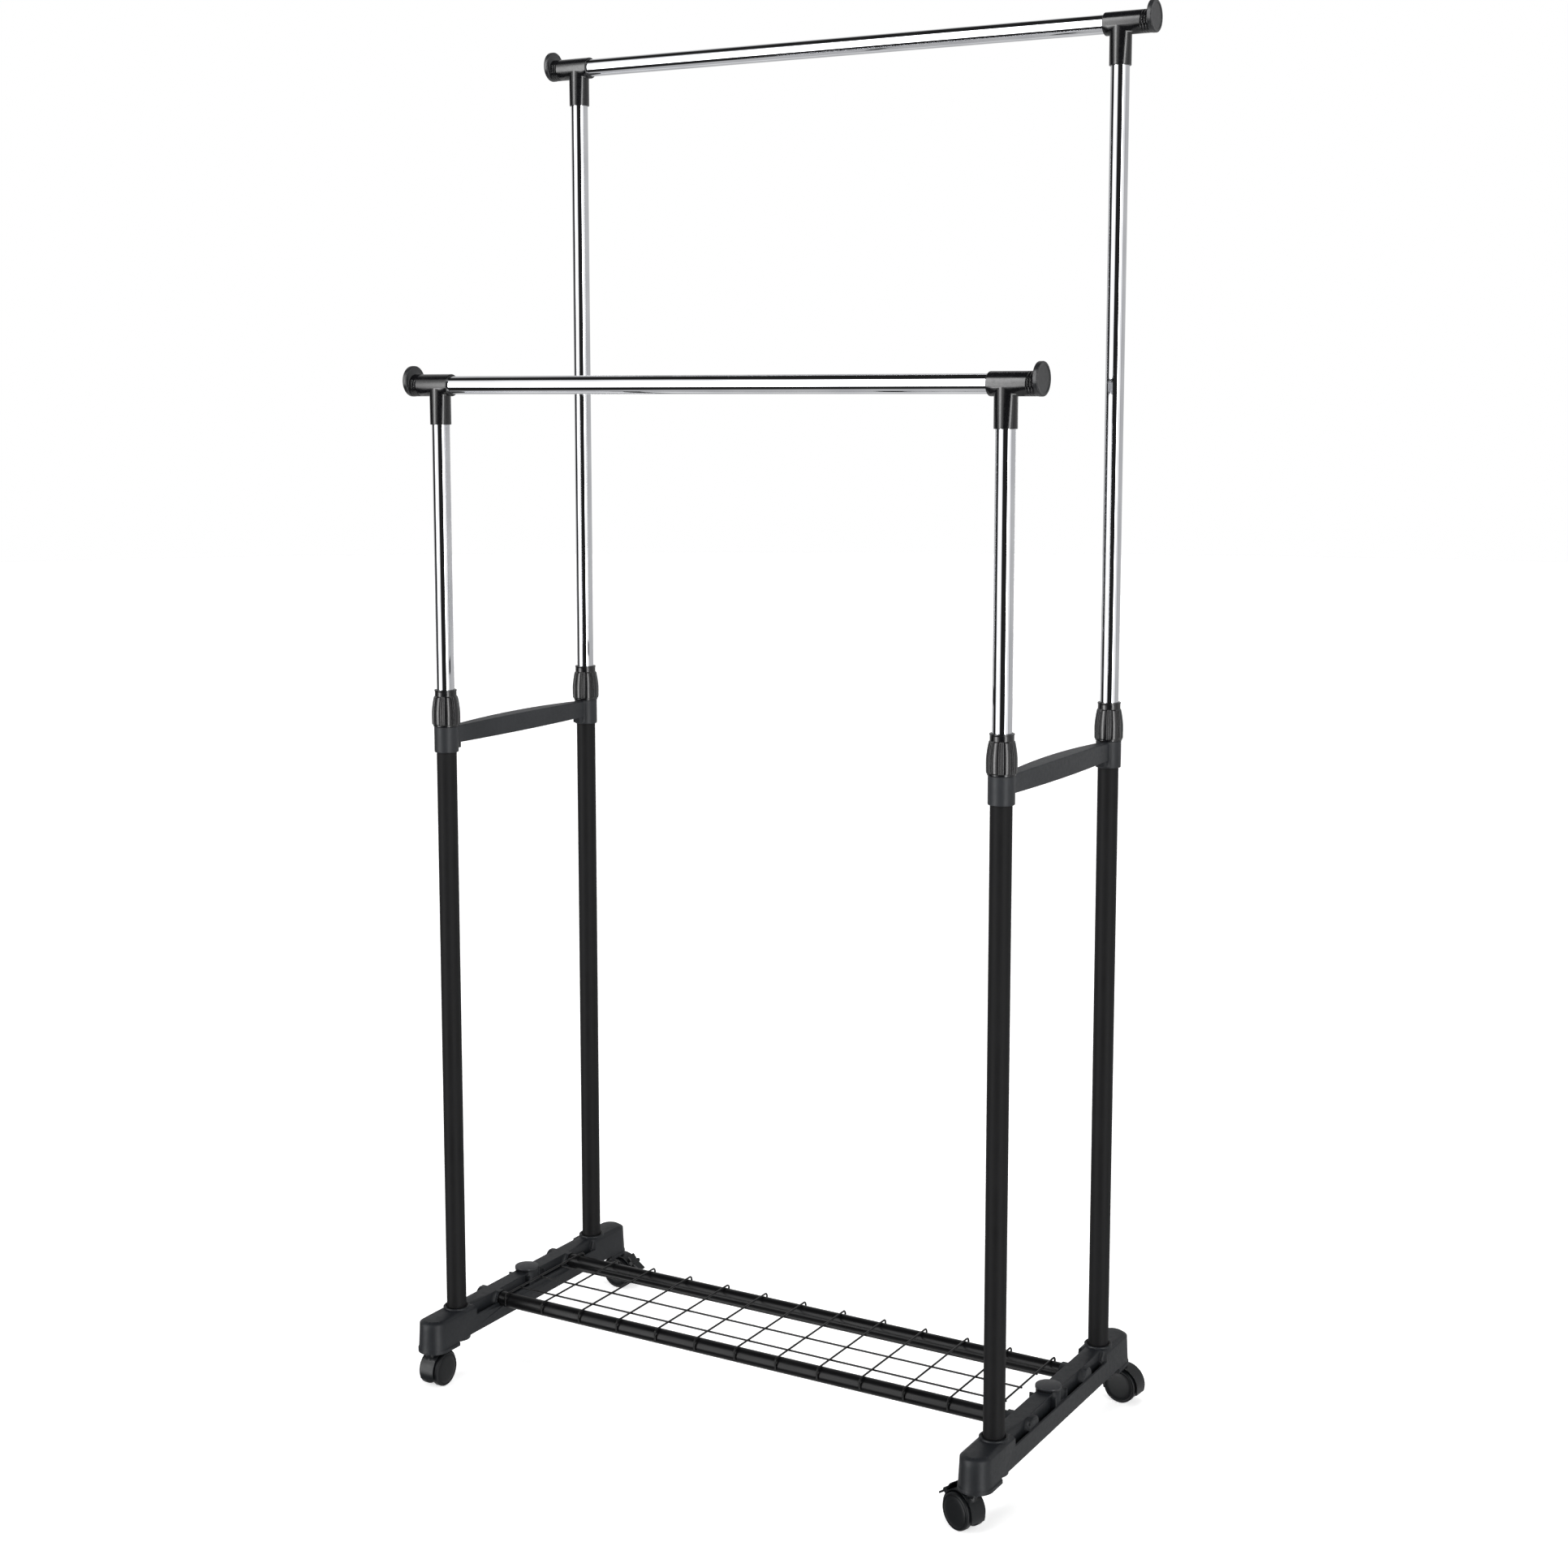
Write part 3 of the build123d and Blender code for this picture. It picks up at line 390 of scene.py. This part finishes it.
def makeShelfTree():
    tree, given = newTree("wireShelfTree", wireShelf)

    def point(x, y, z):
        return addNode(tree, "ShaderNodeCombineXYZ", {"X": x, "Y": y, "Z": z}).outputs["Vector"]

    start = maths(tree, "MULTIPLY", given["Run"], -0.5)
    near = maths(tree, "MULTIPLY", given["Half Width"], -1.0)
    far = given["Half Width"]
    bends = [
        point(0.0, near, given["Foot"]), point(0.0, near, given["Top"]),
        point(0.0, far, given["Top"]), point(0.0, far, given["Foot"]),
    ]
    number = addNode(tree, "GeometryNodeInputIndex").outputs["Index"]
    chosen = addNode(tree, "GeometryNodeIndexSwitch", data_type="VECTOR")
    while len(chosen.index_switch_items) < len(bends):
        chosen.index_switch_items.new()
    tree.links.new(number, chosen.inputs["Index"])
    for index, bend in enumerate(bends):
        tree.links.new(bend, chosen.inputs[index + 1])
    line = addNode(tree, "GeometryNodeMeshLine", {"Count": len(bends)})
    bent = addNode(tree, "GeometryNodeSetPosition", {
        "Geometry": line.outputs["Mesh"], "Position": chosen.outputs[0],
    })
    path = addNode(tree, "GeometryNodeMeshToCurve", {"Mesh": bent.outputs["Geometry"]})
    eased = addNode(tree, "GeometryNodeFilletCurve", {
        "Curve": path.outputs["Curve"], "Radius": given["Bend Radius"],
        "Count": given["Bend Steps"],
    }, mode="POLY")
    section = addNode(tree, "GeometryNodeCurvePrimitiveCircle", {
        "Resolution": given["Wire Sides"], "Radius": given["Wire Radius"],
    })
    wire = addNode(tree, "GeometryNodeCurveToMesh", {
        "Curve": eased.outputs["Curve"], "Profile Curve": section.outputs["Curve"],
        "Fill Caps": True,
    })
    gaps = maths(tree, "SUBTRACT", given["Cross Wires"], 1.0)
    pitch = maths(tree, "DIVIDE", given["Run"], gaps)
    row = addNode(tree, "GeometryNodeMeshLine", {
        "Count": given["Cross Wires"], "Start Location": point(start, 0.0, 0.0),
        "Offset": point(pitch, 0.0, 0.0),
    })
    crossWires = addNode(tree, "GeometryNodeInstanceOnPoints", {
        "Points": row.outputs["Mesh"], "Instance": wire.outputs["Mesh"],
    })
    longZ = maths(tree, "SUBTRACT", given["Top"], given["Long Drop"])
    end = maths(tree, "MULTIPLY", given["Run"], 0.5)
    first = maths(tree, "SUBTRACT", start, given["Wire Radius"])
    last = maths(tree, "ADD", end, given["Wire Radius"])
    joined = addNode(tree, "GeometryNodeJoinGeometry")
    tree.links.new(crossWires.outputs["Instances"], joined.inputs["Geometry"])
    for label in ("Long Front", "Long Middle", "Long Back"):
        straight = addNode(tree, "GeometryNodeCurvePrimitiveLine", {
            "Start": point(first, given[label], longZ), "End": point(last, given[label], longZ),
        })
        rod = addNode(tree, "GeometryNodeCurveToMesh", {
            "Curve": straight.outputs["Curve"], "Profile Curve": section.outputs["Curve"],
            "Fill Caps": True,
        })
        tree.links.new(rod.outputs["Mesh"], joined.inputs["Geometry"])
    endTree(tree, joined.outputs["Geometry"], wireCoat)
    return tree


shelfMesh = grow(makeShelfTree(), wireShelf, "weldedWireShelf")
smoothByAngle(shelfMesh, degrees=50)
addPiece("weldedWireShelf", shelfMesh, "shelf", "wire_coat", wireCoat, "wire_shelf")
print("wire shelf made")

# twist collars: a turned barrel whose wall swells into pads and thin double ribs
collarShape = {
    "Lobes": 8,
    "Pad Proud": 1.3 * mm,
    "Foot": 844.4 * mm,
    "Sides": 256,
    "Stations": 96,
}
collarHalfTurns = 16.5  # keeps the share below positive, with a pad's middle at 0.5
# share of the way along the section, radius and height above the foot in mm, ribbing 0 to 1
collarSection = (
    (0.00, 14.20, 19.1, 0), (0.04, 14.20, 0.5, 0), (0.06, 14.60, 0.0, 0), (0.09, 15.60, 0.0, 0),
    (0.11, 16.00, 0.4, 0), (0.14, 16.10, 2.0, 0), (0.17, 16.15, 2.6, 0.9), (0.20, 16.22, 4.0, 1),
    (0.27, 16.38, 9.0, 1), (0.34, 16.42, 14.0, 1), (0.43, 16.20, 20.0, 1), (0.52, 15.55, 26.0, 1),
    (0.61, 14.60, 32.0, 1), (0.68, 13.85, 35.8, 1), (0.71, 13.62, 37.0, 0.85),
    (0.735, 13.50, 37.8, 0.35), (0.75, 13.50, 38.4, 0), (0.77, 13.45, 39.6, 0),
    (0.82, 13.45, 43.6, 0), (0.84, 13.75, 44.4, 0), (0.87, 13.95, 45.4, 0), (0.885, 13.70, 46.0, 0),
    (0.90, 12.60, 46.0, 0), (0.92, 11.50, 45.8, 0), (0.93, 11.30, 45.2, 0), (0.97, 11.30, 33.1, 0),
    (0.985, 12.90, 32.0, 0), (1.00, 14.20, 19.1, 0),
)
collarSpans = (20.0, 50.0, 1.0)  # the most radius, height and ribbing that the curves hold
# share of the way from pad middle to rib middle, and how proud the wall is there
collarLobe = (
    (0.0, 1.0), (0.25, 0.97), (0.50, 0.86), (0.63, 0.62), (0.69, 0.25), (0.73, 0.0), (0.79, 0.0),
    (0.83, 0.35), (0.87, 0.62), (0.93, 0.58), (1.0, 0.2),
)


def setCurve(node, points):
    curve = node.mapping.curves[0]
    while len(curve.points) < len(points):
        curve.points.new(0.5, 0.5)
    for point, (x, y) in zip(curve.points, points):
        point.location = (x, y)
        point.handle_type = "AUTO_CLAMPED"
    node.mapping.update()


def makeCollarTree():
    tree, given = newTree("twistCollarTree", collarShape)
    line = addNode(tree, "GeometryNodeCurvePrimitiveLine", {"End": (0, 0, 1)})
    stations = addNode(tree, "GeometryNodeResampleCurve", {
        "Curve": line.outputs["Curve"], "Count": given["Stations"],
    })
    circle = addNode(tree, "GeometryNodeCurvePrimitiveCircle", {
        "Resolution": given["Sides"], "Radius": 1.0,
    })
    sleeve = addNode(tree, "GeometryNodeCurveToMesh", {
        "Curve": stations.outputs["Curve"], "Profile Curve": circle.outputs["Curve"],
    })
    place = addNode(tree, "ShaderNodeSeparateXYZ", {
        "Vector": addNode(tree, "GeometryNodeInputPosition").outputs["Position"],
    }).outputs
    curves = []
    for column, span in enumerate(collarSpans, start=1):
        shape = addNode(tree, "ShaderNodeFloatCurve", {"Value": place["Z"]})
        setCurve(shape, [(entry[0], entry[column] / span) for entry in collarSection])
        curves.append(maths(tree, "MULTIPLY", shape.outputs["Value"], span))
    radius, height, ribbing = curves
    turn = maths(tree, "ARCTAN2", place["Y"], place["X"])
    lobes = maths(tree, "MULTIPLY", turn, maths(tree, "DIVIDE", given["Lobes"], 2 * math.pi))
    part = maths(tree, "FRACT", maths(tree, "ADD", lobes, collarHalfTurns))
    offPad = maths(tree, "ABSOLUTE", maths(tree, "SUBTRACT", part, 0.5))
    aside = maths(tree, "MULTIPLY", offPad, 2.0)
    lobe = addNode(tree, "ShaderNodeFloatCurve", {"Value": aside})
    setCurve(lobe, collarLobe)
    proud = maths(tree, "MULTIPLY", lobe.outputs["Value"], given["Pad Proud"])
    proud = maths(tree, "MULTIPLY", proud, ribbing)
    wall = maths(tree, "ADD", maths(tree, "MULTIPLY", radius, mm), proud)
    spot = addNode(tree, "ShaderNodeCombineXYZ", {
        "X": maths(tree, "MULTIPLY", place["X"], wall),
        "Y": maths(tree, "MULTIPLY", place["Y"], wall),
        "Z": maths(tree, "ADD", maths(tree, "MULTIPLY", height, mm), given["Foot"]),
    })
    shaped = addNode(tree, "GeometryNodeSetPosition", {
        "Geometry": sleeve.outputs["Mesh"], "Position": spot.outputs["Vector"],
    })
    closed = addNode(tree, "GeometryNodeMergeByDistance", {
        "Geometry": shaped.outputs["Geometry"], "Distance": 0.02 * mm,
    })
    endTree(tree, closed.outputs["Geometry"], collarPlastic)
    return tree


collarTree = makeCollarTree()
for corner in corners:
    mesh = grow(collarTree, collarShape, corner + "TwistCollar")
    axis = joints[corner + "_collar_twist"]["pos_m"]
    mesh.transform(Matrix.Translation((axis[0], axis[1], 0)))
    smoothByAngle(mesh, degrees=50)
    addPiece(mesh.name, mesh, corner + "_collar", "collar_plastic", collarPlastic,
             corner + "_twist_collar")
print("twist collars made")

# wheels: turned about the axle, with a soft tread, a rim step and a domed face
wheelSection = (  # radius and distance along the axle from the inner face, mm
    (3.05, 0.0), (15.6, 0.0), (16.2, 0.5), (18.6, 0.5), (19.2, 0.0), (20.3, 0.0), (21.1, 0.5),
    (21.5, 1.5), (21.5, 6.0), (21.35, 7.2), (20.8, 8.1), (20.0, 8.6), (19.1, 8.8), (18.75, 8.7),
    (18.5, 8.2), (18.2, 8.15), (17.95, 8.6), (17.5, 8.85), (13.0, 9.22), (8.0, 9.42), (3.0, 9.49),
    (0.0, 9.5), (0.0, 7.3), (3.05, 7.3),
)
wheelSides = 96
wheelInner = 5.5 * mm  # from the middle of the caster to a wheel's inner face


def makeWheel(name, centre, along):
    up = Vector((0, 0, 1))
    aside = up.cross(along)
    work = bmesh.new()
    rings = []
    for radius, reach in wheelSection:
        hub = centre + along * (wheelInner + reach * mm)
        if radius == 0:
            rings.append([work.verts.new(hub)])
            continue
        ring = []
        for step in range(wheelSides):
            turn = 2 * math.pi * step / wheelSides
            out = aside * math.cos(turn) + up * math.sin(turn)
            ring.append(work.verts.new(hub + out * radius * mm))
        rings.append(ring)
    for index, ring in enumerate(rings):
        following = rings[(index + 1) % len(rings)]
        for step in range(wheelSides):
            after = (step + 1) % wheelSides
            if len(ring) == 1 and len(following) == 1:
                break
            if len(ring) == 1:
                work.faces.new((ring[0], following[step], following[after]))
            elif len(following) == 1:
                work.faces.new((ring[step], ring[after], following[0]))
            else:
                work.faces.new((ring[step], ring[after], following[after], following[step]))
    bmesh.ops.recalc_face_normals(work, faces=work.faces)
    mesh = bpy.data.meshes.new(name)
    work.to_mesh(mesh)
    work.free()
    smoothByAngle(mesh, degrees=38)
    return mesh


for corner in corners:
    for label, hand in (("inner", -1), ("outer", 1)):
        spin = joints[f"{corner}_{label}_wheel_spin"]
        centre, along = Vector(spin["pos_m"]), Vector(spin["axis"]).normalized() * hand
        # the two CAD wheels sit either side of the web: take the side that this one is on
        if (middleOf(f"{corner}_{label}_wheel") - centre).dot(along) < 0:
            along = -along
        mesh = makeWheel(f"{corner}{label.title()}Wheel", centre, along)
        addPiece(mesh.name, mesh, f"{corner}_{label}_wheel", "wheel_plastic", wheelPlastic,
                 f"{corner}_{label}_wheel")
print("wheels made")

# moulded pieces whose CAD shape is right: welded copies with their own finishes
for side in ("left", "right"):
    mergedCopy("base_beam_" + side, "stand", "moulded_plastic", beamPlastic)
    mergedCopy("brace_" + side, "stand", "moulded_plastic", bracePlastic)
    mergedCopy("centre_cap_" + side, "stand", "cap_plastic", capPlastic)
for corner in corners:
    row = corner.split("_")[0]
    mergedCopy(corner + "_tee", row + "_frame", "tee_plastic", teePlastic)
    mergedCopy(corner + "_end_disc", row + "_frame", "disc_plastic", discPlastic)
    mergedCopy(corner + "_collet", "stand", "collet_plastic", colletPlastic)
    mergedCopy(corner + "_caster_body", corner + "_caster", "caster_plastic", casterPlastic)
    mergedCopy(corner + "_caster_stem", "stand", "zinc_steel", zincPlate)
    mergedCopy(corner + "_caster_axle", corner + "_caster", "zinc_steel", zincPlate)
    if corner + "_brake_lever" in frame["nodes"]:
        mergedCopy(corner + "_brake_lever", corner + "_brake", "lever_plastic", casterPlastic)
print("moulded pieces made")

# studio: two tall softboxes either side of the camera, in a dark room with pale walls behind
studio = {
    # from and to across, from and to in height, all in degrees, and brightness
    "softboxes": (
        (-57.0, -3.0, -21.0, 47.0, 1.2), (-40.0, -22.0, -21.0, 47.0, 7.0),
        (53.0, 97.0, -54.0, 47.0, 1.1), (55.0, 69.0, -54.0, 47.0, 8.0),
    ),
    "paleWalls": (100.0, 266.0, -54.0, 47.0, 0.6),
    "paleFloor": (-52.0, -48.0, 0.6),
    "wallsDark": 0.02,
    "softEdge": 4.0,
    "floorGlow": 0.55,
    "floorHalf": 16.0,
    "topPlace": (0.0, 0.2, 3.6),
    "topSize": (2.4, 1.6),
    "topPower": 44.0,
}


def addTopLight():
    lamp = bpy.data.lights.new("topSoftbox", "AREA")
    lamp.shape = "RECTANGLE"
    lamp.size, lamp.size_y = studio["topSize"]
    lamp.energy = studio["topPower"]
    softbox = bpy.data.objects.new("topSoftbox", lamp)
    softbox.location = studio["topPlace"]
    softbox.visible_glossy = False
    bpy.context.scene.collection.objects.link(softbox)


def makeFloor():
    # a white acrylic sweep, lit softly from below
    work = bmesh.new()
    bmesh.ops.create_circle(work, cap_ends=True, radius=studio["floorHalf"], segments=96)
    mesh = bpy.data.meshes.new("studioFloor")
    work.to_mesh(mesh)
    work.free()
    material, tree, shader, place = newMaterial("whiteAcrylicSweep", "#f4f4f4", 0.0, 0.7)
    mottle = pattern(tree, place, 50 * mm, 3.0)
    tinted(tree, shader, ranged(tree, mottle, 0, 1), "#f3f3f3", "#f6f6f6")
    shader.inputs["Emission Color"].default_value = (1.0, 1.0, 1.0, 1.0)
    shader.inputs["Emission Strength"].default_value = studio["floorGlow"]
    material.cycles.emission_sampling = "NONE"
    mesh.materials.append(material)
    floor = bpy.data.objects.new("studioFloor", mesh)
    floor.visible_glossy = False
    bpy.context.scene.collection.objects.link(floor)


def band(tree, value, low, high, soft):
    # 1 between low and high, fading to 0 over soft at both ends
    rise = ranged(tree, value, 0.0, 1.0, low - soft / 2, low + soft / 2)
    fall = ranged(tree, value, 1.0, 0.0, high - soft / 2, high + soft / 2)
    return maths(tree, "MULTIPLY", rise, fall)


def makeSurroundings():
    world = bpy.data.worlds.new("studioRoom")
    world.use_nodes = True
    bpy.context.scene.world = world
    tree = world.node_tree
    way = addNode(tree, "ShaderNodeTexCoord").outputs["Generated"]
    parts = addNode(tree, "ShaderNodeSeparateXYZ", {"Vector": way}).outputs
    turn = maths(tree, "ARCTAN2", parts["X"], maths(tree, "MULTIPLY", parts["Y"], -1.0))
    azimuth = maths(tree, "DEGREES", turn)
    # the same, counted from 0 at the front round to 360, for the walls behind
    around = maths(tree, "MODULO", maths(tree, "ADD", azimuth, 360.0), 360.0)
    rise = maths(tree, "DEGREES", maths(tree, "ARCSINE", parts["Z"]))
    soft = studio["softEdge"]
    floorLow, floorHigh, floorPower = studio["paleFloor"]
    glow = ranged(tree, rise, floorPower, 0.0, floorLow, floorHigh)
    for turned, panels in ((around, (studio["paleWalls"],)), (azimuth, studio["softboxes"])):
        for low, high, foot, head, power in panels:
            across = band(tree, turned, low, high, soft)
            level = band(tree, rise, foot, head, 2 * soft)
            lit = maths(tree, "MULTIPLY", across, level)
            glow = maths(tree, "ADD", glow, maths(tree, "MULTIPLY", lit, power))
    glow = maths(tree, "ADD", glow, studio["wallsDark"])
    room = tree.nodes["Background"]
    tree.links.new(glow, room.inputs["Color"])
    plain = addNode(tree, "ShaderNodeBackground", {"Color": (1.0, 1.0, 1.0, 1.0)})
    sight = addNode(tree, "ShaderNodeLightPath").outputs["Is Camera Ray"]
    seen = addNode(tree, "ShaderNodeMixShader", {
        0: sight, 1: room.outputs["Background"], 2: plain.outputs["Background"],
    })
    tree.links.new(seen.outputs["Shader"], tree.nodes["World Output"].inputs["Surface"])


addTopLight()
makeFloor()
makeSurroundings()
bpy.context.scene.view_settings.view_transform = "Standard"
print("studio made")
